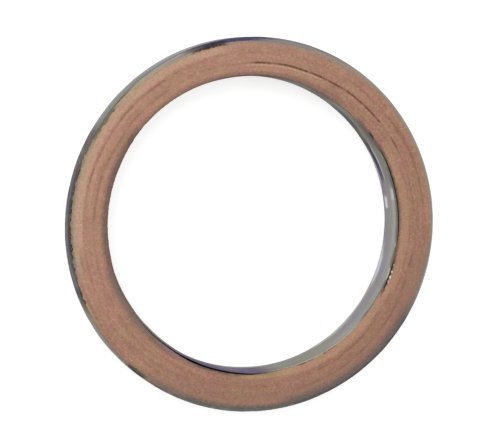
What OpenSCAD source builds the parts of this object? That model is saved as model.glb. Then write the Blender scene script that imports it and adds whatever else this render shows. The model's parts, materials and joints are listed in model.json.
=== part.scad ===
// Exhaust port gasket: a wound fibre packing pressed into a U-shaped steel jacket.
// Millimetres, +Z up. The ring lies on its steel underside, with the fibre face up.
// Angles run anticlockwise from +X, seen from above.

/* [Ring] */
// Outer diameter of the steel jacket
outer_diameter = 48; // [30:0.1:80]
// Width of the ring from the bore to its rim
ring_width = 5.2; // [4.3:0.1:8]
// Height from the steel underside to the fibre face
overall_height = 5; // [4:0.1:8]

/* [Steel jacket] */
// Thickness of the jacket's sheet
sheet = 0.25; // [0.22:0.01:0.3]
// Outside radius of the two bends under the ring
bend_radius = 0.85; // [0.6:0.05:1.2]
// Outside radius of the bend that turns the outer lip inwards
lip_radius = 0.4; // [0.32:0.01:0.44]
// Mean reach of the turned lip beyond the wall's inner face
lip_overhang = 0.42; // [0.4:0.01:0.6]
// How far the lip's opening runs off the ring's axis
lip_runout = 0.22; // [0:0.01:0.24]
// Direction in which the lip's opening runs off
lip_runout_angle = 335; // [0:5:360]

/* [Fibre packing] */
// How far the fibre face stands above the steel lips
crown = 0.2; // [0.1:0.05:0.4]
// Radius along both edges of the fibre face
edge_radius = 0.3; // [0.1:0.05:0.4]
// Thickness of the wound strip
strip_thickness = 1.3; // [1:0.05:1.6]
// Width of the seam between two turns at the fibre face
seam_width = 0.14; // [0.08:0.01:0.2]
// Depth of the seam between two turns
seam_depth = 0.3; // [0.1:0.05:0.5]
// How far the winding's middle lies off the ring's axis
winding_offset = 0.45; // [0:0.05:0.5]
// Direction in which the winding's middle lies
winding_offset_angle = 280; // [0:5:360]

/* [Inner end of the strip] */
// Angle at which the strip's inner end tapers out
strip_end_angle = 334; // [330:1:340]
// Angle over which the strip's end tapers
strip_taper_angle = 14; // [10:1:18]
// Gap behind the strip's end, between the packing and the inner wall
end_gap = 0.4; // [0.15:0.01:0.5]
// Angle over which that gap closes
end_gap_angle = 58; // [40:1:90]

/* [Hidden] */
$fn = 96;
jacket_radius = outer_diameter / 2;
bore_radius = jacket_radius - ring_width;
lip_height = overall_height - crown;
channel_inner = bore_radius + sheet;
channel_outer = jacket_radius - sheet;
lip_opening_radius = channel_outer - lip_overhang;
lip_centre = [lip_runout * cos(lip_runout_angle), lip_runout * sin(lip_runout_angle), 0];
// Clearance between the packing and the steel beside and above it
fit = 0.05;
packing_inner = channel_inner + fit;
packing_outer = channel_outer - fit;
shoulder_height = lip_height - sheet - fit;
face_radius = lip_opening_radius - fit;
// The winding is drawn as half circles about two centres, half a strip apart
winding_centre = [
    winding_offset * cos(winding_offset_angle),
    winding_offset * sin(winding_offset_angle),
    0
];
centre_shift = strip_thickness / 4;
first_seam_radius = packing_inner + strip_thickness;
most_half_turns = ceil((face_radius - first_seam_radius) / (strip_thickness / 2));
// How much further the winding's offset takes its lower and its upper half circles
side_offset = winding_offset * abs(cos(winding_offset_angle));
lower_offset = sin(winding_offset_angle) < 0 ? winding_offset : side_offset;
upper_offset = sin(winding_offset_angle) > 0 ? winding_offset : side_offset;
taper_start_angle = strip_end_angle - strip_taper_angle;
steel_colour = [0.66, 0.66, 0.65];
fibre_colour = [0.65, 0.49, 0.41];
overcut = 1;

// Even half circles are the lower ones, odd ones the upper
function is_lower(k) = k % 2 == 0;
function seam_radius(k) = first_seam_radius + k * strip_thickness / 2;
function seam_reach(k) = seam_radius(k) + centre_shift + (is_lower(k) ? lower_offset : upper_offset);
// The half circles that stay inside the fibre face
half_turns = [
    for (k = [0 : most_half_turns])
        if (seam_reach(k) + seam_width < face_radius - lip_runout) k
];

// Square corner with a quarter round taken out, to cut a rounded corner from a section
module corner_cutter(at, radius, toward) {
    translate(at)
        difference() {
            translate([toward[0] > 0 ? 0 : -radius - overcut, toward[1] > 0 ? 0 : -radius - overcut])
                square(radius + overcut);
            circle(r = radius);
        }
}

// Section of a ring between two radii, with rounded lower corners and upper outer corner
module ring_section(inner, outer, low, high, lower_radius, upper_radius) {
    difference() {
        translate([inner, low])
            square([outer - inner, high - low]);
        corner_cutter([inner + lower_radius, low + lower_radius], lower_radius, [-1, -1]);
        corner_cutter([outer - lower_radius, low + lower_radius], lower_radius, [1, -1]);
        corner_cutter([outer - upper_radius, high - upper_radius], upper_radius, [1, 1]);
    }
}

// One sheet bent to a U, with its outer lip rolled in over the packing
module steel_jacket() {
    inner_bend = bend_radius - sheet;
    color(steel_colour)
        difference() {
            rotate_extrude()
                ring_section(bore_radius, jacket_radius, 0, lip_height, bend_radius, lip_radius);
            rotate_extrude()
                ring_section(
                    channel_inner, channel_outer, sheet, lip_height - sheet, inner_bend, lip_radius - sheet
                );
            jacket_mouth();
        }
}

// Opening between the inner wall and the rolled lip
module jacket_mouth() {
    mouth_floor = lip_height - sheet - lip_radius;
    difference() {
        translate([lip_centre[0], lip_centre[1], mouth_floor])
            cylinder(r = lip_opening_radius, h = overall_height);
        translate([0, 0, mouth_floor - overcut])
            cylinder(r = channel_inner, h = overall_height + 2 * overcut);
    }
}

// The wound strip as one solid, with its seams and its tapered inner end
module fibre_packing() {
    color(fibre_colour)
        difference() {
            union() {
                packing_body();
                packing_face();
            }
            packing_bore();
            winding_seams();
            taper_seam();
            end_void();
        }
}

// What fills the channel, under the rolled lip
module packing_body() {
    lower_radius = bend_radius - sheet;
    upper_radius = lip_radius - sheet;
    rotate_extrude()
        ring_section(packing_inner, packing_outer, sheet, shoulder_height, lower_radius, upper_radius);
}

// What rises through the mouth, with its outer edge rounded
module packing_face() {
    face_floor = overall_height / 2;
    translate(lip_centre)
        rotate_extrude()
            difference() {
                translate([packing_inner - strip_thickness, face_floor])
                    square([face_radius - packing_inner + strip_thickness, overall_height - face_floor]);
                corner_cutter([face_radius - edge_radius, overall_height - edge_radius], edge_radius, [1, 1]);
            }
}

// Passage through the packing, with the edge at the fibre face rounded
module packing_bore() {
    rotate_extrude() {
        translate([0, -overcut])
            square([packing_inner, overall_height + 2 * overcut]);
        corner_cutter([packing_inner + edge_radius, overall_height - edge_radius], edge_radius, [-1, 1]);
    }
}

// V section of a seam, at the fibre face and at a given radius
module seam_section(radius) {
    flare = seam_width * overcut / seam_depth;
    translate([radius, overall_height])
        polygon([
            [0, -seam_depth],
            [seam_width / 2 + flare / 2, overcut],
            [-seam_width / 2 - flare / 2, overcut]
        ]);
}

// Seams along the half circles. The first stops where the strip's taper starts
module winding_seams() {
    for (k = half_turns) {
        sweep = k == 0 ? taper_start_angle - 180 : 180;
        translate(winding_centre + [is_lower(k) ? -centre_shift : centre_shift, 0, 0])
            rotate([0, 0, is_lower(k) ? 180 : 0])
                rotate_extrude(angle = sweep)
                    seam_section(seam_radius(k));
    }
}

// Straight seam along the tapered end, from the first half circle down to the bore
module taper_seam() {
    from = winding_centre
        + [first_seam_radius * cos(taper_start_angle) - centre_shift, first_seam_radius * sin(taper_start_angle), 0];
    to = [packing_inner * cos(strip_end_angle), packing_inner * sin(strip_end_angle), 0];
    run = to - from;
    translate(from)
        rotate([0, 0, atan2(run[1], run[0])])
            rotate([90, 0, 90])
                linear_extrude(height = norm(run) + end_gap)
                    seam_section(0);
}

// Crescent left open behind the strip's end, from the channel's floor up
module end_void() {
    closing = cos(end_gap_angle);
    shift = end_gap / (1 - closing);
    translate([shift * cos(strip_end_angle), shift * sin(strip_end_angle), sheet - overcut])
        rotate([0, 0, strip_end_angle])
            rotate_extrude(angle = end_gap_angle + strip_taper_angle)
                translate([packing_inner - strip_thickness, 0])
                    square([strip_thickness - shift * closing, overall_height + 2 * overcut]);
}

steel_jacket();
fibre_packing();
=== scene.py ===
import json
from math import cos, hypot, pi, radians, sin

import bpy
from mathutils import Matrix, Vector, noise


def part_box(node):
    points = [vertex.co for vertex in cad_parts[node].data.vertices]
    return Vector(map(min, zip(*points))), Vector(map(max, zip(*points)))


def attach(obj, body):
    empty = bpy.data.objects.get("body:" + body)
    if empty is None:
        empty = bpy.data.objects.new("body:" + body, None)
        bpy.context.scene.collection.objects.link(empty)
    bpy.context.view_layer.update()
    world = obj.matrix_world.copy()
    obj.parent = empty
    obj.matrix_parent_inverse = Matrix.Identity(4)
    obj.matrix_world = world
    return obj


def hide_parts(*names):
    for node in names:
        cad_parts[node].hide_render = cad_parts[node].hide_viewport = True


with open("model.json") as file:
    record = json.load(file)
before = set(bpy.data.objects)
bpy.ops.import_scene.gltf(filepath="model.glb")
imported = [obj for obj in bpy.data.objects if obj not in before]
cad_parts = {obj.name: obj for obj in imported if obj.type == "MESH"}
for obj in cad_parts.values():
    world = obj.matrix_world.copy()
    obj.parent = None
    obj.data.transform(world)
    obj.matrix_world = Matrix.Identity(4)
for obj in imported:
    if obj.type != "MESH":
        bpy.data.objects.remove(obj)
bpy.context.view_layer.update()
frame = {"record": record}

# Looks of the exhaust port gasket. Lengths are millimetres until a mesh is made, angles run
# anticlockwise from +X seen from above, and the fibre face is up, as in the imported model.
MM = 0.001

# The ring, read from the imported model
JACKET_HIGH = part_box("steel_jacket")[1]
PACKING_LOW, PACKING_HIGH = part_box("fibre_packing")
RIM_R = JACKET_HIGH.x / MM
LIP_Z = JACKET_HIGH.z / MM
FACE_Z = PACKING_HIGH.z / MM
SHEET = PACKING_LOW.z / MM
BORE_R = next(m for m in frame["record"]["mounts"] if m["name"] == "bore")["dims"]["r_mm"]

# Section of the jacket, as in the part's source
BEND_R = 0.85
LIP_BEND_R = 0.4
LIP_REACH = 0.42
FIT = 0.05
CHANNEL_OUTER = RIM_R - SHEET
PACKING_INNER = BORE_R + SHEET + FIT
LIP_OPENING = CHANNEL_OUTER - LIP_REACH

# The sheet's cut edges: how far the corners are eased, and the points over the wall's edge, each
# an inset and a drop
EDGE_EASE = 0.06
TIP_EASE = 0.05
WALL_EDGE = ((0.12, 0.0), (0.03, 0.02))
WALL_EDGE_BACK = 0.04
LIP_FLAT = 0.15
# Steps of the jacket's mesh: up the wall, round the bends, up the rim, over the lip, in its inner
# skin, and round the ring
WALL_STEPS = 14
BEND_STEPS = 12
RIM_STEPS = 8
LIP_STEPS = 10
INNER_LIP_STEPS = 4
INNER_BEND_STEPS = 5
JACKET_SEGMENTS = 900

# The real ring is a little out of round: (size, periods round the ring, angle of the peak)
RIM_WAVES = ((0.17, 1, 322), (0.139, 2, 60), (0.05, 3, 105))
RIM_MEAN = RIM_R - 0.13
RIM_LIMIT = RIM_R - 0.01
FOOT_WAVES = ((0.17, 1, 142), (0.07, 2, 90))
FOOT_MEAN = BORE_R - 0.076
EDGE_WAVES = ((0.1, 1, 142),)
LIP_WAVES = ((0.22, 1, 335),)
# Widths over which the inner wall's shift passes into the rim's, and the lip's into the rim's
FLOOR_BLEND = 1.5
LIP_BLEND = 0.35
# Unevenness of the sheet, each a size and a width: dents, ripples, and the sag of its upper edges
DENT, DENT_WIDTH = 0.03, 3.5
DENT_HEIGHT_SHARE = 1.5
RIPPLE, RIPPLE_WIDTH = 0.012, 1.0
SAG, SAG_WIDTH = 0.03, 3.0
SAG_DEPTH = 0.1

# The winding: half circles about two centres, as in the part's source
STRIP = 1.3
WINDING_X, WINDING_Y = 0.06, -0.45
FIRST_SEAM = PACKING_INNER + STRIP - 0.04
STRIP_END = 334
TAPER_START = 320

TAPER_SEAM_END = TAPER_START + 2
TAPER_OUTER = FIRST_SEAM + 0.08
TAPER_CURVE = 1.3
TAPER_MARGIN = 0.05
FAR_OFF = 9.0

# The path of the fibre's outer edge over the lip: (angle, radius)
FIBRE_EDGE = (
    (0, 23.66), (30, 23.66), (60, 23.62), (90, 23.38), (120, 23.3), (150, 23.4), (180, 23.5),
    (200, 23.64), (212, 23.86), (235, 23.88), (255, 23.64), (280, 23.54), (305, 23.57),
    (330, 23.63),
)
# The path of its inner edge: over the wall, along it, and open behind the strip's end
FIBRE_BORE = (
    (22, 19.3), (28, 19.22), (33, 19.06), (38, 19.02), (44, 18.86), (62, 18.84), (82, 19.0),
    (138, 18.98), (156, 18.86), (190, 18.84), (204, 18.94), (232, 19.02), (248, 19.2), (268, 19.22),
    (280, 19.04), (322, 19.02), (333, 19.04), (335, 19.32), (344, 19.32), (347, 19.16),
    (350, 19.18), (356, 19.3),
)
# How plainly the seams show: (turn, from angle, to angle, strength)
SEAM_BASE = 0.14
SEAMS = (
    (0, 122, 178, 0.3), (0, 296, 320, 0.35), (1, 2, 40, 0.35), (1, 119, 167, 0.4),
    (1, 286, 348, 0.42),
)
SEAM_SOFT = 4
# Where the seam of the first turn stands open: (from angle, to angle, strength)
CRACK = ((28, 31, 0.85), (39, 54, 0.9), (56, 69, 0.85), (71, 91, 0.95))
CRACK_SOFT = 1.5
# The seams' sway in and out: (size, periods round the ring, angle of the peak)
SEAM_SWAY = ((0.05, 5, 64), (0.03, 13, 66), (0.015, 29, 10))
# Depth and half width of the grooves of a seam, of the open seam and along the tapered end
SEAM_DEPTH, SEAM_HALF = 0.1, 0.2
CRACK_DEPTH, CRACK_HALF = 0.12, 0.14
TAPER_DEPTH, TAPER_HALF = 0.08, 0.12
# How a groove's depth changes along it: mean, spread and width of the changes
FADE_MEAN, FADE_SPREAD, FADE_WIDTH = 0.75, 0.5, 1.2
# Half widths of the dark lines that the material draws along them
SEAM_LINE = 0.28
CRACK_LINE = 0.22

# Radius of the middle of the face, and the two at which the edges' fraying is drawn
FACE_MID_R = 21
INNER_FRAY_R = 19
OUTER_FRAY_R = 24
# Fraying of the inner edge: (size, width, seed)
INNER_FRAY = ((0.035, 0.5, 2.0), (0.03, 0.2, 14.0))
# Fraying of the outer edge: (width, seed), its size, what is added between two angles, and the
# tufts there
OUTER_FRAY = ((0.6, 7.0), (0.3, 8.0))
OUTER_FRAY_SIZE = 0.03
FRAYED_SIZE = 0.1
FRAYED_FROM, FRAYED_TO, FRAYED_SOFT = 145, 215, 8
TUFT, TUFT_WIDTH, TUFT_FROM = 0.45, 0.5, 0.12
RIM_BARE = 0.08
# The face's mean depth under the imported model's, its lumps and its grain, each a size and a width
FACE_SINK = 0.055
LUMP, LUMP_WIDTH = 0.03, 1.6
GRAIN, GRAIN_WIDTH = 0.024, 0.45

# The packing's mesh: rows over the face, its rounded edges, and how far it stays off the jacket
FACE_ROWS = 56
PACKING_SEGMENTS = 1250
WALL_ROWS = (2.0, 3.4)
WALL_ROW_DROP = 0.1
INNER_ROUND = 0.22
OUTER_ROUND = 0.16
ROUND_DROP = 0.13
ROUND_TURNS = (25, 50, 72)
OVER_WALL = 0.02
OVER_LIP = 0.01
UNDER_FRAY = 0.005
MOUTH_GAP = 0.06
MOUTH_INSET = 0.05
CHANNEL_GAP = 0.05
CORNER_CUT = 0.15
CORNER_DROP = 0.2
FOOT_CUT = 0.6

# The photograph's view: tilt from the ring's axis, direction that the camera leans in, distance
VIEW_TILT = 14.0
VIEW_AZIMUTH = 164.5
VIEW_DISTANCE = 318.4
VIEW_AIM = (-0.135, 0.105)
VIEW_ASIDE = (0.193, -0.047)
PHOTO_WIDTH = 500
FOCAL_PIXELS = 2485.3
SENSOR_WIDTH = 36.0



def waves(angle, parts):
    """Sum of waves round the ring, each highest at its peak angle."""
    return sum(size * cos(radians(turns * (angle - peak))) for size, turns, peak in parts)


SEED_SLANT = 1.7


def rough(angle, radius, height, width, seed):
    """Smooth noise on the ring's surface between about -1 and 1, with features of one width."""
    a = radians(angle)
    place = Vector((radius * cos(a), radius * sin(a), height)) / width
    return noise.noise(place + Vector((seed, seed * SEED_SLANT, 0)))


def smooth(value, low, high):
    """0 below one value and 1 above another, with a smooth rise between."""
    share = min(max((value - low) / (high - low), 0), 1)
    return share * share * (3 - 2 * share)


def span(angle, low, high, soft):
    """1 between two angles, falling to 0 over a soft margin outside them."""
    off = abs((angle - (low + high) / 2 + 180) % 360 - 180) - (high - low) / 2
    return smooth(1 - off / soft, 0, 1)


def path(angle, points):
    """Radius of a closed path at an angle, run smoothly through its points."""
    ahead = next((k for k, point in enumerate(points) if point[0] > angle % 360), 0)
    start, end = points[ahead - 1], points[ahead]
    share = (angle - start[0]) % 360 / ((end[0] - start[0]) % 360)
    return start[1] + (end[1] - start[1]) * smooth(share, 0, 1)


def ring_mesh(name, rows, segments):
    """A closed ring: each row is a function of the angle that gives (radius, height)."""
    verts, faces = [], []
    count = len(rows)
    for s in range(segments):
        angle = 360 * s / segments
        cosine, sine = cos(radians(angle)), sin(radians(angle))
        for row in rows:
            radius, height = row(angle)
            verts.append((radius * cosine * MM, radius * sine * MM, height * MM))
    for s in range(segments):
        here, there = s * count, (s + 1) % segments * count
        for k in range(count):
            after = (k + 1) % count
            faces.append((here + k, there + k, there + after, here + after))
    mesh = bpy.data.meshes.new(name)
    mesh.from_pydata(verts, [], faces)
    mesh.validate()
    mesh.polygons.foreach_set("use_smooth", [True] * len(mesh.polygons))
    piece = bpy.data.objects.new(name, mesh)
    bpy.context.scene.collection.objects.link(piece)
    return piece


def arc(centre, radius, start, end, steps):
    """Points on an arc of a section, from one direction to another in degrees, ends included."""
    points = []
    for k in range(steps + 1):
        a = radians(start + (end - start) * k / steps)
        points.append((centre[0] + radius * cos(a), centre[1] + radius * sin(a)))
    return points


# Jacket

def jacket_section():
    """(radius, height) round the sheet's section: the outer skin, the lip's tip, the inner skin."""
    inner_bend = BEND_R - SHEET
    inner_lip = LIP_BEND_R - SHEET
    foot_in = BORE_R + BEND_R
    foot_out = RIM_R - BEND_R
    lip_out = RIM_R - LIP_BEND_R
    lip_turn = LIP_Z - LIP_BEND_R
    wall_top = LIP_Z - EDGE_EASE
    skin = [(BORE_R + inset, LIP_Z - drop) for inset, drop in WALL_EDGE]
    skin += [(BORE_R, wall_top - (wall_top - BEND_R) * k / WALL_STEPS)
             for k in range(WALL_STEPS + 1)]
    skin += arc((foot_in, BEND_R), BEND_R, 180, 270, BEND_STEPS)[1:]
    skin += arc((foot_out, BEND_R), BEND_R, 270, 360, BEND_STEPS)
    skin += [(RIM_R, BEND_R + (lip_turn - BEND_R) * k / RIM_STEPS) for k in range(1, RIM_STEPS)]
    skin += arc((lip_out, lip_turn), LIP_BEND_R, 0, 90, LIP_STEPS)
    skin += [(lip_out - LIP_FLAT, LIP_Z), (LIP_OPENING + TIP_EASE, LIP_Z)]
    tip = [
        (LIP_OPENING, LIP_Z - EDGE_EASE),
        (LIP_OPENING, LIP_Z - SHEET + TIP_EASE),
        (LIP_OPENING + TIP_EASE, LIP_Z - SHEET),
    ]
    inside = arc((lip_out, lip_turn), inner_lip, 90, 0, INNER_LIP_STEPS)
    inside.append((CHANNEL_OUTER, BEND_R))
    inside += arc((foot_out, BEND_R), inner_bend, 0, -90, INNER_BEND_STEPS)[1:]
    inside += arc((foot_in, BEND_R), inner_bend, 270, 180, INNER_BEND_STEPS)
    inside += [(BORE_R + SHEET, wall_top), (BORE_R + SHEET - WALL_EDGE_BACK, LIP_Z)]
    return skin + tip + inside


def rim_shift(angle):
    """How far the outer wall stands off its radius in the source, kept inside the source's box."""
    reach = RIM_LIMIT / max(abs(cos(radians(angle))), abs(sin(radians(angle))))
    return min(RIM_MEAN + waves(angle, RIM_WAVES), reach) - RIM_R


def bore_shift(angle, height):
    """How far the inner wall stands off its radius in the source, from its foot to its edge."""
    foot = FOOT_MEAN + waves(angle, FOOT_WAVES)
    edge = BORE_R + waves(angle, EDGE_WAVES)
    return foot + (edge - foot) * min(max(height / LIP_Z, 0), 1) - BORE_R


def jacket_row(radius, height):
    """One point of the section, carried round the ring with the sheet's slight waves and dents."""
    middle = (BORE_R + RIM_R) / 2
    outer_share = smooth(radius, middle - FLOOR_BLEND, middle + FLOOR_BLEND)
    lip_share = 0
    if height > LIP_Z - 2 * SHEET:
        lip_share = 1 - smooth(radius, LIP_OPENING, LIP_OPENING + LIP_BLEND)

    def place(angle):
        shift = bore_shift(angle, height) * (1 - outer_share) + rim_shift(angle) * outer_share
        shift += lip_share * (waves(angle, LIP_WAVES) - rim_shift(angle))
        dent = DENT * rough(angle, radius, height * DENT_HEIGHT_SHARE, DENT_WIDTH, seed=1.0)
        dent += RIPPLE * rough(angle, radius, height, RIPPLE_WIDTH, seed=5.0)
        sag = 0
        if height > LIP_Z - SAG_DEPTH:
            sag = SAG * abs(rough(angle, radius, 0, SAG_WIDTH, seed=9.0))
        inward = -abs(dent) if outer_share > 0.5 else dent
        return radius + shift + inward, height - sag
    return place


def make_jacket():
    rows = [jacket_row(*point) for point in jacket_section()]
    jacket = ring_mesh("jacket", rows, JACKET_SEGMENTS)
    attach(jacket, "root")
    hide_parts("steel_jacket")
    return jacket


# Packing

def winding_turn(angle, radius):
    """The strip's turn at a point of the face: whole numbers are seams."""
    x, y = radius * cos(radians(angle)), radius * sin(radians(angle))
    lower = y < WINDING_Y
    centre_x = WINDING_X + (-STRIP / 4 if lower else STRIP / 4)
    return (hypot(x - centre_x, y - WINDING_Y) - FIRST_SEAM) / STRIP - (0 if lower else 0.5)


def taper_distance(angle, radius):
    """Distance from the seam along the strip's tapered end, far away where there is none."""
    along = (angle - TAPER_START) / (STRIP_END - TAPER_START)
    if along < -TAPER_MARGIN or along > 1 + TAPER_MARGIN:
        return FAR_OFF
    line = TAPER_OUTER - (TAPER_OUTER - PACKING_INNER) * max(along, 0) ** TAPER_CURVE
    return abs(radius - line)


def seam_groove(angle, radius):
    """Depth of the seams between turns at a point of the face, deepest where one stands open."""
    turn = winding_turn(angle, radius + waves(angle, SEAM_SWAY))
    near = round(turn)
    if near not in (0, 1) or (near == 0 and TAPER_SEAM_END < angle):
        return TAPER_DEPTH * max(0, 1 - taper_distance(angle, radius) / TAPER_HALF)
    shown = SEAM_BASE + max(strength * span(angle, low, high, SEAM_SOFT)
                            for t, low, high, strength in SEAMS if t == near)
    crack = 0
    if near == 0:
        crack = max(strength * span(angle, low, high, CRACK_SOFT) for low, high, strength in CRACK)
    fade = FADE_MEAN + FADE_SPREAD * rough(angle, FACE_MID_R, 0, FADE_WIDTH, seed=12.0)
    off = abs(turn - near) * STRIP
    seam = SEAM_DEPTH * shown * fade * max(0, 1 - off / SEAM_HALF)
    return seam + CRACK_DEPTH * crack * fade * max(0, 1 - off / CRACK_HALF)


def fibre_inner(angle):
    """Radius of the face's inner edge."""
    fray = sum(size * rough(angle, INNER_FRAY_R, 0, width, seed)
               for size, width, seed in INNER_FRAY)
    return path(angle, FIBRE_BORE) + fray


def fibre_outer(angle):
    """Radius of the face's frayed outer edge, which laps over the lip."""
    frayed = span(angle, FRAYED_FROM, FRAYED_TO, FRAYED_SOFT)
    size = OUTER_FRAY_SIZE + FRAYED_SIZE * frayed
    ragged = sum(size * rough(angle, OUTER_FRAY_R, 0, width, seed) for width, seed in OUTER_FRAY)
    tuft = max(0, rough(angle, OUTER_FRAY_R, 0, TUFT_WIDTH, seed=15.0) - TUFT_FROM)
    ragged += TUFT * frayed * tuft
    return min(path(angle, FIBRE_EDGE) + ragged, RIM_R + rim_shift(angle) - RIM_BARE)


def face_height(angle, radius):
    """Height of the fibre face, with the unevenness of pressed fibre and the seams."""
    coarse = LUMP * rough(angle, radius, 0, LUMP_WIDTH, seed=4.0)
    fine = GRAIN * rough(angle, radius, 0, GRAIN_WIDTH, seed=6.0)
    return FACE_Z - FACE_SINK + coarse + fine - seam_groove(angle, radius)


def packing_rows():
    """Rows of the packing's section: up the inner wall, over the face, down inside the jacket."""
    def wall_side(height):
        return lambda angle: (max(fibre_inner(angle), PACKING_INNER), height)

    def inner_edge(turn):
        across = INNER_ROUND * (1 - sin(radians(turn)))
        drop = ROUND_DROP * (1 - cos(radians(90 - turn)))

        def place(angle):
            inner = fibre_inner(angle)
            low = LIP_Z + OVER_WALL if inner < PACKING_INNER else 0
            height = face_height(angle, inner + INNER_ROUND) - drop
            return inner + INNER_ROUND - across, max(height, low)
        return place

    def face(share):
        def place(angle):
            low, high = fibre_inner(angle) + INNER_ROUND, fibre_outer(angle) - OUTER_ROUND
            radius = low + (high - low) * share
            return radius, face_height(angle, radius)
        return place

    def outer_edge(turn):
        out = OUTER_ROUND * sin(radians(turn))
        drop = ROUND_DROP * (1 - cos(radians(turn)))

        def place(angle):
            outer = fibre_outer(angle)
            height = face_height(angle, outer - OUTER_ROUND) - drop
            return outer - OUTER_ROUND + out, max(height, LIP_Z + OVER_LIP)
        return place

    def mouth(height):
        def place(angle):
            opening = LIP_OPENING - MOUTH_GAP + waves(angle, LIP_WAVES)
            return min(opening, fibre_outer(angle) - MOUTH_INSET), height
        return place

    def deep(inset, height):
        def place(angle):
            return RIM_R + rim_shift(angle) - SHEET - FIT - CHANNEL_GAP - inset, height
        return place

    under_lip = LIP_Z - SHEET
    foot = SHEET + FOOT_CUT
    rows = [wall_side(z) for z in (foot, *WALL_ROWS, LIP_Z - WALL_ROW_DROP)]
    rows += [inner_edge(turn) for turn in (0, *ROUND_TURNS)]
    rows += [face(k / FACE_ROWS) for k in range(FACE_ROWS + 1)]
    rows += [outer_edge(turn) for turn in (*ROUND_TURNS, 90)]
    rows += [mouth(LIP_Z + UNDER_FRAY), mouth(under_lip - FIT)]
    rows += [deep(CORNER_CUT, under_lip - FIT), deep(0, under_lip - CORNER_DROP)]
    rows += [deep(0, foot), deep(FOOT_CUT, SHEET)]
    rows.append(lambda angle: (PACKING_INNER + FOOT_CUT, SHEET))
    return rows


def make_packing():
    packing = ring_mesh("packing", packing_rows(), PACKING_SEGMENTS)
    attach(packing, "root")
    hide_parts("fibre_packing")
    return packing


# Materials

# Relief of the bumps, in metres
SHEET_RELIEF = 0.000012
LUMP_RELIEF = 0.00006
FIBRE_RELIEF = 0.00002
STREAK_ROUGHNESS = 0.55
# How much the noise of the short fibres varies along them, against across them
FUZZ_SLANT = 0.35
# Heights over and under the lip between which painted shade darkens the fibre towards its sides
# inside the jacket
SHADE_FROM, SHADE_FULL = 0.04, 0.12
# Sockets of a Mix node that mixes colours
MIX_SHARE, MIX_A, MIX_B, MIX_RESULT = 0, 6, 7, 2


def srgb(red, green, blue):
    """A colour read as it shows on a screen, 0 to 255, as the linear colour that a shader takes."""
    def linear(value):
        value /= 255
        return value / 12.92 if value <= 0.04045 else ((value + 0.055) / 1.055) ** 2.4
    return (linear(red), linear(green), linear(blue), 1.0)


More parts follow.
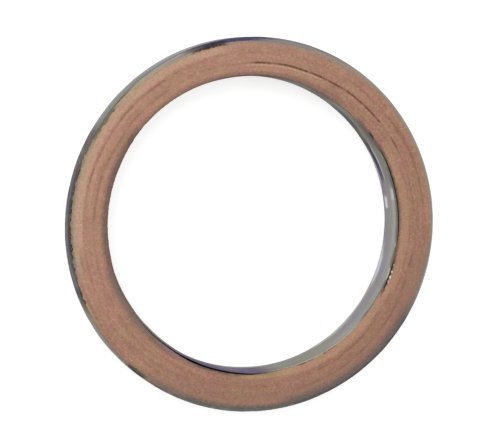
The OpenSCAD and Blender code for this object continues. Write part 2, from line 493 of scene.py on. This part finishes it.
class Nodes:
    """Short calls for building a material's nodes. Lengths are millimetres and angles degrees."""

    def __init__(self, name):
        self.material = bpy.data.materials.new(name)
        self.material.use_nodes = True
        self.tree = self.material.node_tree
        self.shader = self.tree.nodes["Principled BSDF"]
        coordinate = self.tree.nodes.new("ShaderNodeTexCoord")
        scaled = self.tree.nodes.new("ShaderNodeVectorMath")
        scaled.operation = "SCALE"
        scaled.inputs["Scale"].default_value = 1 / MM
        self.link(coordinate.outputs["Object"], scaled.inputs[0])
        self.place = scaled.outputs["Vector"]
        self.x, self.y, self.z = self.split(self.place)
        turned = self.math("ARCTAN2", self.y, self.x)
        self.angle = self.math("FLOORED_MODULO", self.math("MULTIPLY", turned, 180 / pi), 360)
        squares = self.add(self.times(self.x, self.x), self.times(self.y, self.y))
        self.radius = self.math("SQRT", squares)
        past_lip = self.math("ADD", self.radius, LIP_Z - LIP_OPENING)
        self.reach = self.math("SUBTRACT", past_lip, self.z)
        self.round_x = self.math("DIVIDE", self.x, self.radius)
        self.round_y = self.math("DIVIDE", self.y, self.radius)

    def link(self, source, target):
        self.tree.links.new(source, target)

    def set(self, socket, value):
        """Links a socket, or sets a number or colour on it."""
        if isinstance(value, bpy.types.NodeSocket):
            self.link(value, socket)
        elif value is not None:
            socket.default_value = value

    def math(self, operation, a, b=None, c=None):
        node = self.tree.nodes.new("ShaderNodeMath")
        node.operation = operation
        for socket, value in zip(node.inputs, (a, b, c)):
            self.set(socket, value)
        return node.outputs[0]

    def add(self, *values):
        total = values[0]
        for value in values[1:]:
            total = self.math("ADD", total, value)
        return total

    def times(self, *values):
        total = values[0]
        for value in values[1:]:
            total = self.math("MULTIPLY", total, value)
        return total

    def combine(self, x, y, z):
        node = self.tree.nodes.new("ShaderNodeCombineXYZ")
        for socket, value in zip(node.inputs, (x, y, z)):
            self.set(socket, value)
        return node.outputs[0]

    def split(self, source):
        node = self.tree.nodes.new("ShaderNodeSeparateXYZ")
        self.link(source, node.inputs[0])
        return node.outputs

    def noise(self, size, detail, roughness, seed, place=None):
        """Noise between 0 and 1 with features of one size in millimetres."""
        node = self.tree.nodes.new("ShaderNodeTexNoise")
        node.noise_dimensions = "4D"
        self.link(place or self.place, node.inputs["Vector"])
        node.inputs["W"].default_value = seed
        node.inputs["Scale"].default_value = 1 / size
        node.inputs["Detail"].default_value = detail
        node.inputs["Roughness"].default_value = roughness
        return node.outputs["Fac"]

    def streaks(self, length, width, detail, seed, across=None):
        """Noise drawn out round the ring, of a length and width at the middle of the face."""
        turn = FACE_MID_R / length
        across = self.times(across or self.radius, 1 / width)
        place = self.combine(self.times(self.round_x, turn), self.times(self.round_y, turn), across)
        return self.noise(1.0, detail, STREAK_ROUGHNESS, seed, place)

    def ramp(self, value, low, high, to_low=0.0, to_high=1.0):
        """Maps a range of a value to another range, smoothly and clamped."""
        node = self.tree.nodes.new("ShaderNodeMapRange")
        node.interpolation_type = "SMOOTHSTEP"
        ends = (("From Min", low), ("From Max", high), ("To Min", to_low), ("To Max", to_high))
        for name, number in ends:
            node.inputs[name].default_value = number
        self.link(value, node.inputs["Value"])
        return node.outputs["Result"]

    def mix(self, share, a, b, blend="MIX"):
        node = self.tree.nodes.new("ShaderNodeMix")
        node.data_type = "RGBA"
        node.blend_type = blend
        self.set(node.inputs[MIX_SHARE], share)
        self.set(node.inputs[MIX_A], a)
        self.set(node.inputs[MIX_B], b)
        return node.outputs[MIX_RESULT]

    def brightness(self, colour):
        node = self.tree.nodes.new("ShaderNodeRGBToBW")
        self.link(colour, node.inputs["Color"])
        return node.outputs["Val"]

    def bump(self, height, distance, strength, normal=None):
        node = self.tree.nodes.new("ShaderNodeBump")
        node.inputs["Strength"].default_value = strength
        node.inputs["Distance"].default_value = distance
        self.link(height, node.inputs["Height"])
        if normal is not None:
            self.link(normal, node.inputs["Normal"])
        return node.outputs["Normal"]

    def within(self, off, half, soft):
        """1 where a value is no further than a half width from 0, falling to 0 over a margin."""
        return self.ramp(self.math("ABSOLUTE", off), half, half + soft, 1.0, 0.0)

    def span(self, low, high, soft):
        """1 between two angles, falling to 0 over a soft margin outside them."""
        from_far = self.math("SUBTRACT", self.angle, (low + high) / 2 - 180)
        off = self.math("SUBTRACT", self.math("FLOORED_MODULO", from_far, 360), 180)
        return self.within(off, (high - low) / 2, soft)

    def band(self, value, low, high, soft):
        """1 between two values, falling to 0 over a soft margin outside them."""
        off = self.math("SUBTRACT", value, (low + high) / 2)
        return self.within(off, (high - low) / 2, soft)

    def line(self, value, width):
        """1 where a value is 0, falling to 0 at a width on both sides."""
        return self.within(value, 0.0, width)


def toned(n, colour, layers):
    """Lays tints over a colour by noise: (noise, from, to, most, tint)."""
    for source, low, high, most, tint in layers:
        colour = n.mix(n.ramp(source, low, high, 0.0, most), colour, srgb(*tint))
    return colour


# Softness of a mark's ends in degrees, and how much of a mark is left where the noise breaks it up
MARK_SOFT_MOST = 8.0
MARK_SOFT_LEAST = 0.5
MARK_SOFT_SHARE = 3
MARK_BROKEN_SHARE = 0.65


def marked(n, colour, place, ragged, marks):
    """Lays marks over a colour: (from angle, to angle, from place, to place, softness, strength,
    tint). Where the noise is low they are weaker. The marks are stains and dirt, and painted light
    and shade too."""
    for low, high, near, far, soft, strength, tint in marks:
        angle_soft = min(MARK_SOFT_MOST, (high - low) / MARK_SOFT_SHARE + MARK_SOFT_LEAST)
        mask = n.times(n.span(low, high, angle_soft), n.band(place, near, far, soft))
        broken_up = n.ramp(ragged, 0.3, 0.55, MARK_BROKEN_SHARE * strength, strength)
        colour = n.mix(n.times(mask, broken_up), colour, srgb(*tint))
    return colour


# Marks on the jacket outside, painted light and painted shade among them: places are millimetres
# along the sheet, from the lip's tip over the bend and down
RIM_MARKS_LIGHT_AND_SHADE = (
    (78, 130, 0.0, 1.2, 0.3, 0.6, (108, 106, 116)),
    (64, 94, 0.4, 1.6, 0.25, 0.9, (74, 78, 94)),
    (92, 109, 0.1, 0.9, 0.25, 0.9, (66, 60, 92)),
    # Painted shade: the dark shadowed gap between the lip and the fibre at 101 to 110 degrees
    (101, 110, -0.3, 0.35, 0.2, 0.9, (46, 36, 52)),
    (128, 152, 0.0, 2.6, 0.5, 0.6, (112, 112, 102)),
    # Painted light: the lower outer wall lighter from 118 to 152 degrees, where light falls on it
    (118, 152, 2.8, 4.4, 0.5, 0.4, (160, 160, 172)),
    (112, 138, -0.3, 0.25, 0.3, 0.6, (136, 131, 114)),
    (152, 202, -0.2, 5.0, 0.3, 0.9, (86, 76, 80)),
    (138, 172, -0.3, 0.3, 0.35, 0.9, (98, 96, 76)),
    # Dark spots on the lip and wall from 164 to 206.5 degrees: partly dirt, partly painted shade in
    # the gap by the fibre
    (164, 192, 0.3, 1.9, 0.5, 0.8, (52, 40, 47)),
    (181, 187.5, 0.2, 1.4, 0.3, 0.85, (34, 24, 30)),
    (173, 176, 0.2, 1.8, 0.3, 0.85, (38, 28, 34)),
    (201, 206.5, 0.1, 2.6, 1.6, 0.97, (30, 23, 28)),
    (208, 238, 0.5, 5.0, 0.3, 0.8, (122, 110, 94)),
    # A dark spot at 228.5 to 233 degrees: partly dirt, partly painted shade in the gap by the fibre
    (228.5, 233, 0.3, 1.1, 0.7, 0.95, (44, 36, 38)),
    (240, 334, -0.3, 1.3, 0.8, 0.9, (98, 95, 91)),
    (288, 328, 0.35, 1.2, 0.3, 0.75, (80, 82, 82)),
    (334, 440, 0.2, 1.3, 0.8, 0.6, (150, 144, 134)),
)
# Marks on the jacket inside the bore, many of them painted reflections: places are heights
WALL_MARKS_AND_REFLECTIONS = (
    (300, 372, 3.5, 4.6, 0.5, 0.35, (146, 152, 136)),
    (352, 372, 0.8, 2.4, 0.5, 0.4, (140, 134, 148)),
    # Painted reflection: a pale band low on the wall from 302 to 347 degrees, brightest from 336 to
    # 345
    (302, 347, 0.75, 1.3, 0.4, 0.9, (186, 190, 178)),
    (336, 345, 1.0, 1.6, 0.4, 0.8, (206, 210, 216)),
    (298, 352, 0.0, 0.35, 0.25, 0.85, (132, 132, 126)),
    (312, 348, 2.4, 3.1, 0.4, 0.75, (142, 134, 160)),
    (348, 360, 2.8, 3.3, 0.4, 0.5, (140, 144, 134)),
    # Painted reflection: a dark streak from 13 to 52 degrees with pale lines beside it, a dark
    # thing mirrored in the wall
    (18, 33, 1.0, 1.2, 0.2, 0.8, (196, 190, 204)),
    (19.5, 32, 1.55, 2.65, 0.2, 0.98, (54, 45, 72)),
    (20, 31, 2.85, 3.0, 0.15, 0.8, (206, 204, 200)),
    (13, 20, 1.4, 2.4, 0.4, 0.4, (118, 108, 128)),
    (33, 52, 0.9, 2.7, 0.4, 0.9, (84, 77, 79)),
    (36, 64, 3.0, 5.0, 0.4, 0.8, (122, 117, 106)),
    (18, 42, 3.6, 4.8, 0.3, 0.6, (110, 110, 96)),
    # Painted highlights: two small light reflections, at 6.5 to 9.5 and at 10 to 13 degrees
    (6.5, 9.5, 1.7, 2.0, 0.5, 0.7, (236, 236, 236)),
    (10, 13, 4.2, 4.5, 0.2, 0.6, (196, 190, 198)),
    (238, 274, 2.4, 5.0, 0.5, 0.9, (92, 78, 108)),
    (60, 86, 0.0, 5.0, 0.4, 0.85, (108, 94, 86)),
    (317, 318.5, 0.0, 0.7, 0.2, 0.8, (70, 64, 66)),
    (278, 300, 2.0, 4.9, 0.5, 0.5, (138, 136, 116)),
    # Painted shade: the sheet's top edge darkened from 86 to 268 degrees, under the fibre's shaded
    # rounded edge
    (86, 200, 4.2, 5.0, 0.3, 0.9, (92, 80, 76)),
    (208, 238, 4.2, 5.0, 0.3, 0.9, (120, 112, 112)),
    (236, 268, 4.2, 5.0, 0.3, 0.9, (106, 94, 122)),
    (322, 398, 4.72, 5.0, 0.12, 0.85, (104, 94, 98)),
)
# Radii between which the marks of the outside set in, and those of the bore's wall leave off
RIM_MARKS_FROM = (22.3, 22.8)
WALL_MARKS_TO = (19.3, 19.7)
# Angles between which wisps of fibre lie over the lip, and the places that they cover
WISPS_FROM, WISPS_TO, WISPS_SOFT = 156, 206, 5
WISPS_LOW, WISPS_HIGH, WISPS_FADE = -0.3, 0.3, 0.4


def steel_colour(n):
    """Tarnished sheet: drawn streaks, stains, and marks on the wall and lip, painted reflections
    and shade among them.
    """
    streak = n.streaks(9.0, 0.35, 4.0, seed=1.0, across=n.add(n.radius, n.z))
    stain = n.noise(3.0, 4.0, 0.6, seed=2.0)
    tint = n.noise(1.4, 2.0, 0.5, seed=9.0)
    colour = n.mix(n.ramp(streak, 0.3, 0.7), srgb(138, 133, 132), srgb(158, 154, 152))
    colour = toned(n, colour, (
        (stain, 0.45, 0.75, 0.5, (138, 130, 134)),
        (tint, 0.5, 0.7, 0.35, (144, 148, 132)),
    ))
    ragged = n.noise(0.7, 3.0, 0.6, seed=4.0)
    # The outside's marks, with painted shade in the gaps and painted light on the lower wall
    outside = marked(n, colour, n.reach, ragged, RIM_MARKS_LIGHT_AND_SHADE)
    outside = n.mix(n.ramp(n.radius, *RIM_MARKS_FROM), colour, outside)
    over_lip = n.band(n.reach, WISPS_LOW, WISPS_HIGH, WISPS_FADE)
    thin = n.ramp(n.noise(0.5, 3.0, 0.65, seed=31.0), 0.5, 0.6)
    wisps = n.times(n.span(WISPS_FROM, WISPS_TO, WISPS_SOFT), over_lip, thin)
    outside = n.mix(n.times(wisps, 0.8), outside, srgb(156, 138, 112))
    sway = n.ramp(n.noise(4.0, 2.0, 0.5, seed=3.0), 0.3, 0.7, -0.25, 0.25)
    drawn_out = n.noise(6.0, 2.0, 0.5, seed=8.0)
    # The bore wall's marks, with its painted reflections and painted highlights
    inside = marked(n, colour, n.add(n.z, sway), drawn_out, WALL_MARKS_AND_REFLECTIONS)
    return n.mix(n.ramp(n.radius, *WALL_MARKS_TO, 1.0, 0.0), outside, inside)


def steel_material():
    n = Nodes("jacket_steel")
    grain = n.noise(0.25, 4.0, 0.6, seed=5.0)
    drawn = n.streaks(14.0, 0.12, 3.0, seed=6.0, across=n.add(n.radius, n.z))
    colour = steel_colour(n)
    # Dark parts, stains and painted shade and dark painted reflections alike, are made less
    # metallic and rougher
    bright_share = n.ramp(n.brightness(colour), 0.1, 0.24)
    n.link(colour, n.shader.inputs["Base Color"])
    n.link(n.math("MULTIPLY_ADD", bright_share, 0.8, 0.2), n.shader.inputs["Metallic"])
    n.shader.inputs["Specular IOR Level"].default_value = 0.3
    n.shader.inputs["Specular Tint"].default_value = (0.6, 0.6, 0.6, 1)
    polish = n.ramp(n.add(n.times(grain, 0.5), n.times(drawn, 0.5)), 0.3, 0.7, 0.28, 0.46)
    dull = n.math("MULTIPLY_ADD", bright_share, -0.35, 0.35)
    n.link(n.add(polish, dull), n.shader.inputs["Roughness"])
    normal = n.bump(drawn, SHEET_RELIEF, 0.5)
    n.link(n.bump(grain, SHEET_RELIEF, 0.4, normal), n.shader.inputs["Normal"])
    return n.material


def seam_distance(n):
    """Distance from the nearest seam and that seam's turn, as in the packing's mesh."""
    swings = []
    for size, turns, peak in SEAM_SWAY:
        swing = n.math("COSINE", n.times(n.add(n.angle, -peak), turns * pi / 180))
        swings.append(n.times(swing, size))
    sway = n.add(*swings)
    lower = n.math("LESS_THAN", n.y, WINDING_Y)
    centre_x = n.math("MULTIPLY_ADD", lower, -STRIP / 2, WINDING_X + STRIP / 4)
    across = n.math("SUBTRACT", n.x, centre_x)
    along = n.add(n.y, -WINDING_Y)
    reach = n.math("SQRT", n.add(n.times(across, across), n.times(along, along)))
    turn = n.times(n.add(reach, sway, -FIRST_SEAM), 1 / STRIP)
    turn = n.add(turn, n.math("MULTIPLY_ADD", lower, 0.5, -0.5))
    nearest = n.math("ROUND", turn)
    return n.times(n.math("SUBTRACT", turn, nearest), STRIP), nearest


def seam_strength(n, apart, nearest):
    """How plainly the nearest seam shows at each point, broken up along its length."""
    shown = SEAM_BASE
    for turn, low, high, strength in SEAMS:
        here = n.times(n.line(n.add(nearest, -turn), 0.5), n.span(low, high, SEAM_SOFT), strength)
        shown = n.math("MAXIMUM", here, shown)
    broken = n.ramp(n.streaks(1.6, 3.0, 3.0, seed=16.0), 0.36, 0.6, 0.2, 1.0)
    shown = n.times(shown, n.line(apart, SEAM_LINE), broken)
    crack = 0.0
    for low, high, strength in CRACK:
        crack = n.math("MAXIMUM", n.times(n.span(low, high, CRACK_SOFT), strength), crack)
    first = n.line(nearest, 0.5)
    dots = n.ramp(n.streaks(0.7, 3.0, 2.0, seed=26.0), 0.36, 0.56, 0.45, 1.0)
    return n.math("MAXIMUM", shown, n.times(crack, first, n.line(apart, CRACK_LINE), dots))


# Broad light and dark parts of the face, partly its own uneven colour and partly painted light and
# shade:
# lighter from 90 to 190 degrees, darker from 262 to 20. Columns: (from angle, to angle, softness,
# strength, tint)
FACE_LIGHT_AND_TONE = (
    (90, 190, 40, 0.22, (196, 152, 130)),
    (335, 380, 20, 0.2, (140, 104, 86)),
    (262, 322, 30, 0.2, (132, 94, 78)),
)
# The pale ridge beside the open seam: angles and their softness, and distances from the seam
RIDGE_FROM, RIDGE_TO, RIDGE_SOFT = 66, 92, 4
RIDGE_NEAR, RIDGE_OFF, RIDGE_FADE = -0.34, -0.24, 0.12
# Marks on the fibre, painted shade among them: places are radii
FIBRE_MARKS_AND_SHADE = (
    (104, 184, 22.3, 22.7, 0.45, 0.6, (200, 164, 140)),
    (112, 192, 22.95, 23.5, 0.35, 0.6, (178, 160, 133)),
    (138, 170, 21.35, 21.55, 0.25, 0.45, (194, 148, 132)),
    (244, 346, 21.7, 24.0, 0.6, 0.45, (146, 112, 98)),
    (334, 440, 23.6, 24.0, 0.45, 0.75, (146, 138, 124)),
    (58, 116, 23.3, 24.0, 0.5, 0.8, (150, 138, 128)),
    (240, 332, 23.45, 24.0, 0.6, 0.9, (100, 94, 89)),
    (284, 328, 23.2, 24.0, 0.95, 0.85, (104, 94, 91)),
    (334, 352, 23.1, 23.4, 0.3, 0.4, (138, 112, 98)),
    # Painted shade: the same shadowed gap between fibre and lip at 101 to 109 degrees
    (101, 109, 23.15, 24.0, 0.2, 0.97, (44, 31, 36)),
    (76, 96, 23.45, 24.0, 0.3, 0.7, (118, 112, 112)),
    (142, 151, 23.2, 24.0, 0.15, 0.85, (92, 92, 70)),
    (152, 186, 23.45, 24.0, 0.3, 0.7, (120, 110, 88)),
    (186, 194, 23.5, 24.0, 0.25, 0.7, (120, 106, 92)),
    (232, 246, 23.3, 24.0, 0.4, 0.5, (138, 116, 99)),
    (334, 352, 23.4, 24.0, 0.4, 0.6, (132, 120, 110)),
    (205, 212, 23.65, 24.0, 0.15, 0.6, (152, 148, 94)),
    # The same dark spot on the fibre's edge: partly dirt, partly painted shade in the gap
    (228.5, 233, 23.65, 24.0, 0.12, 0.95, (50, 40, 42)),
    (212, 250, 23.75, 24.0, 0.2, 0.6, (122, 106, 94)),
    (56, 145, 18.8, 19.3, 0.5, 0.75, (136, 106, 92)),
    # Painted shade: darker bands along the fibre's rounded inner edge from 145 to 232 degrees
    (145, 206, 18.8, 19.2, 0.9, 0.85, (104, 84, 80)),
    (202, 232, 18.9, 19.4, 0.5, 0.85, (106, 97, 90)),
    (234, 256, 18.9, 19.2, 0.5, 0.8, (134, 113, 112)),
    (200, 222, 19.4, 19.9, 0.5, 0.5, (136, 112, 100)),
    (250, 275, 18.9, 19.28, 0.2, 0.8, (92, 82, 64)),
    (268, 284, 19.3, 19.6, 0.3, 0.5, (176, 154, 112)),
    (284, 334, 19.2, 19.8, 0.5, 0.6, (186, 146, 120)),
    (338, 385, 19.8, 20.3, 0.4, 0.5, (180, 144, 114)),
    (289, 294, 18.9, 19.1, 0.1, 0.8, (96, 72, 56)),
    (300, 304, 18.9, 19.08, 0.1, 0.8, (96, 72, 56)),
    # Painted shade: the fibre darkened beside the open gap at the bore's wall, from 334 to 28
    # degrees
    (334, 345, 19.2, 19.35, 0.14, 0.9, (70, 50, 42)),
    (345, 388, 19.1, 19.32, 0.25, 0.8, (110, 84, 64)),
    (337.1, 337.3, 19.4, 19.44, 0.1, 0.9, (226, 222, 214)),
    (338.9, 339.3, 19.4, 19.48, 0.1, 0.95, (230, 226, 218)),
    (341.2, 341.4, 19.4, 19.44, 0.1, 0.9, (220, 214, 206)),
    (343.8, 343.9, 19.38, 19.42, 0.1, 0.6, (200, 190, 180)),
    (386, 402, 18.9, 19.2, 0.25, 0.8, (104, 90, 74)),
    (395.3, 397.3, 18.9, 19.2, 0.1, 0.97, (36, 25, 25)),
    (400, 424, 18.7, 18.82, 0.2, 0.6, (120, 100, 86)),
    (66, 150, 18.8, 19.0, 0.25, 0.5, (124, 96, 82)),
)


def fibre_fuzz(n):
    """Short fibres that lie slanted both ways, between 0 and 1."""
    along, across = n.times(n.angle, FACE_MID_R * pi / 180), n.radius
    one, other = n.add(along, across), n.add(along, n.times(across, -1))
    one_place = n.combine(one, n.times(other, FUZZ_SLANT), n.z)
    other_place = n.combine(other, n.times(one, FUZZ_SLANT), n.z)
    one_way = n.noise(0.34, 3.0, 0.6, seed=24.0, place=one_place)
    other_way = n.noise(0.34, 3.0, 0.6, seed=25.0, place=other_place)
    return n.times(n.add(one_way, other_way), 0.5)


def fibre_texture(n, colour):
    """Shade and hue that change from spot to spot, over the marks too."""
    shade = n.ramp(n.noise(0.25, 4.0, 0.7, seed=27.0), 0.3, 0.7)
    hue = n.ramp(n.streaks(2.4, 0.6, 3.0, seed=28.0), 0.35, 0.65)
    blue = n.ramp(n.noise(0.5, 3.0, 0.6, seed=29.0), 0.35, 0.65)
    for share, low, high in (
        (shade, (0.84, 0.84, 0.85, 1), (1.12, 1.13, 1.13, 1)),
        (hue, (1.03, 0.975, 1.03, 1), (0.975, 1.015, 0.94, 1)),
        (blue, (1, 1, 0.94, 1), (1, 0.995, 1.06, 1)),
    ):
        colour = n.mix(1.0, colour, n.mix(share, low, high), "MULTIPLY")
    return colour


def fibre_colour(n, apart, nearest):
    """Wound mineral fibre: grain, flecks, seams, the open seam and aged edges, with painted light
    and shade.
    """
    layer = n.streaks(5.0, 0.4, 3.0, seed=11.0)
    fibre = fibre_fuzz(n)
    mottle = n.noise(0.5, 4.0, 0.7, seed=13.0)
    fleck = n.noise(0.16, 2.0, 0.6, seed=14.0)
    patch = n.noise(3.5, 3.0, 0.55, seed=15.0)
    warmth = n.noise(1.5, 2.0, 0.6, seed=19.0)
    colour = n.mix(n.ramp(layer, 0.3, 0.7), srgb(151, 113, 94), srgb(171, 130, 108))
    colour = toned(n, colour, (
        (patch, 0.35, 0.7, 0.5, (166, 122, 107)),
        (warmth, 0.5, 0.72, 0.5, (166, 134, 100)),
        (warmth, 0.5, 0.28, 0.45, (164, 112, 102)),
        (fibre, 0.5, 0.66, 0.6, (190, 150, 128)),
        (fibre, 0.48, 0.34, 0.55, (142, 102, 86)),
        (mottle, 0.46, 0.26, 0.45, (142, 102, 88)),
        (mottle, 0.55, 0.75, 0.5, (188, 148, 126)),
        (fleck, 0.6, 0.75, 0.4, (206, 172, 148)),
        (fleck, 0.38, 0.26, 0.45, (122, 84, 70)),
    ))
    # Painted light and shade over the face, mixed with its own uneven colour
    for low, high, soft, strength, tint in FACE_LIGHT_AND_TONE:
        colour = n.mix(n.times(n.span(low, high, soft), strength), colour, srgb(*tint))

    colour = n.mix(n.times(seam_strength(n, apart, nearest), 0.95), colour, srgb(90, 50, 38))
    ridge = n.times(n.band(apart, RIDGE_NEAR, RIDGE_OFF, RIDGE_FADE),
                    n.span(RIDGE_FROM, RIDGE_TO, RIDGE_SOFT), n.line(nearest, 0.5))
    colour = n.mix(n.times(ridge, 0.5), colour, srgb(196, 156, 136))

    edge = n.ramp(n.noise(0.4, 3.0, 0.65, seed=18.0), 0.25, 0.75, -0.13, 0.13)
    ragged = n.noise(0.35, 3.0, 0.65, seed=23.0)
    colour = marked(n, colour, n.add(n.radius, edge), ragged, FIBRE_MARKS_AND_SHADE)
    colour = fibre_texture(n, colour)
    # Painted shade: the fibre's sides under the lip are darkened, as the jacket and the gaps shade
    # them
    inside = n.ramp(n.z, LIP_Z + SHADE_FROM, LIP_Z - SHADE_FULL)
    return n.mix(n.times(inside, 0.9), colour, srgb(76, 54, 48))


def fibre_material():
    n = Nodes("packing_fibre")
    apart, nearest = seam_distance(n)
    n.link(fibre_colour(n, apart, nearest), n.shader.inputs["Base Color"])
    n.shader.inputs["Specular IOR Level"].default_value = 0.25
    dull = n.ramp(n.noise(0.5, 3.0, 0.6, seed=20.0), 0.3, 0.7, 0.82, 0.98)
    n.link(dull, n.shader.inputs["Roughness"])
    fibres = n.streaks(1.2, 0.12, 4.0, seed=21.0)
    lumps = n.noise(0.25, 4.0, 0.65, seed=22.0)
    normal = n.bump(lumps, LUMP_RELIEF, 0.6)
    n.link(n.bump(fibres, FIBRE_RELIEF, 0.5, normal), n.shader.inputs["Normal"])
    return n.material


# Camera, floor and light. Places and sizes of the stage are metres

CLIP_START = 0.001
FLOOR_SIZE = 4.0
FLOOR_COLOUR = (0.8, 0.8, 0.8, 1)
FLOOR_GLOW = 0.5
SKY_LIGHT = 0.77
KEY_PLACE = (-0.7, 0.8, 1.2)
KEY_SIZE = 1.5
KEY_POWER = 10.5


def make_camera():
    """A camera at the photograph's viewing angle, aimed beside the ring's middle as it was."""
    tilt, azimuth = radians(VIEW_TILT), radians(VIEW_AZIMUTH)
    turn = Matrix.Rotation(tilt, 4, Vector((-sin(azimuth), cos(azimuth), 0)))
    data = bpy.data.cameras.new("camera")
    data.sensor_fit = "HORIZONTAL"
    data.sensor_width = SENSOR_WIDTH
    data.lens = SENSOR_WIDTH * FOCAL_PIXELS / PHOTO_WIDTH
    data.clip_start = CLIP_START
    camera = bpy.data.objects.new("camera", data)
    bpy.context.scene.collection.objects.link(camera)
    aim = Vector((VIEW_AIM[0], VIEW_AIM[1], FACE_Z / 2)) * MM
    back = Vector((VIEW_ASIDE[0], VIEW_ASIDE[1], VIEW_DISTANCE)) * MM
    camera.matrix_world = Matrix.Translation(aim) @ turn @ Matrix.Translation(back)
    bpy.context.scene.camera = camera


def white_seen(tree):
    """1 for rays from the camera, from gloss and through glass, 0 for light on things."""
    path = tree.nodes.new("ShaderNodeLightPath")
    seen = path.outputs["Is Camera Ray"]
    for name in ("Is Glossy Ray", "Is Transmission Ray"):
        either = tree.nodes.new("ShaderNodeMath")
        either.operation = "MAXIMUM"
        tree.links.new(seen, either.inputs[0])
        tree.links.new(path.outputs[name], either.inputs[1])
        seen = either.outputs[0]
    return seen


def make_floor():
    """A white floor that keeps the ring's soft shadow."""
    bpy.ops.mesh.primitive_plane_add(size=FLOOR_SIZE)
    floor = bpy.context.object
    floor.name = "floor"
    material = bpy.data.materials.new("floor")
    material.use_nodes = True
    tree = material.node_tree
    tree.nodes.clear()
    out = tree.nodes.new("ShaderNodeOutputMaterial")
    diffuse = tree.nodes.new("ShaderNodeBsdfDiffuse")
    diffuse.inputs["Color"].default_value = FLOOR_COLOUR
    glow = tree.nodes.new("ShaderNodeEmission")
    strength = tree.nodes.new("ShaderNodeMath")
    strength.operation = "MULTIPLY"
    strength.inputs[1].default_value = FLOOR_GLOW
    tree.links.new(white_seen(tree), strength.inputs[0])
    tree.links.new(strength.outputs[0], glow.inputs["Strength"])
    both = tree.nodes.new("ShaderNodeAddShader")
    tree.links.new(diffuse.outputs[0], both.inputs[0])
    tree.links.new(glow.outputs[0], both.inputs[1])
    tree.links.new(both.outputs[0], out.inputs["Surface"])
    floor.data.materials.append(material)


def make_world():
    """White where it is seen, and a plain soft light on the ring."""
    world = bpy.data.worlds.new("studio")
    world.use_nodes = True
    tree = world.node_tree
    background = tree.nodes["Background"]
    strength = tree.nodes.new("ShaderNodeMapRange")
    strength.inputs["To Min"].default_value = SKY_LIGHT
    strength.inputs["To Max"].default_value = 1.0
    tree.links.new(white_seen(tree), strength.inputs["Value"])
    tree.links.new(strength.outputs["Result"], background.inputs["Strength"])
    background.inputs["Color"].default_value = (1, 1, 1, 1)
    bpy.context.scene.world = world


def make_key():
    """The one lamp: a square softbox that faces the ring."""
    data = bpy.data.lights.new("key", "AREA")
    data.size = KEY_SIZE
    data.energy = KEY_POWER
    lamp = bpy.data.objects.new("key", data)
    lamp.location = KEY_PLACE
    lamp.rotation_euler = (-Vector(KEY_PLACE)).to_track_quat("-Z", "Y").to_euler()
    bpy.context.scene.collection.objects.link(lamp)


bpy.context.scene.view_settings.view_transform = "Standard"
jacket = make_jacket()
jacket.data.materials.append(steel_material())
packing = make_packing()
packing.data.materials.append(fibre_material())
make_camera()
make_floor()
make_world()
make_key()
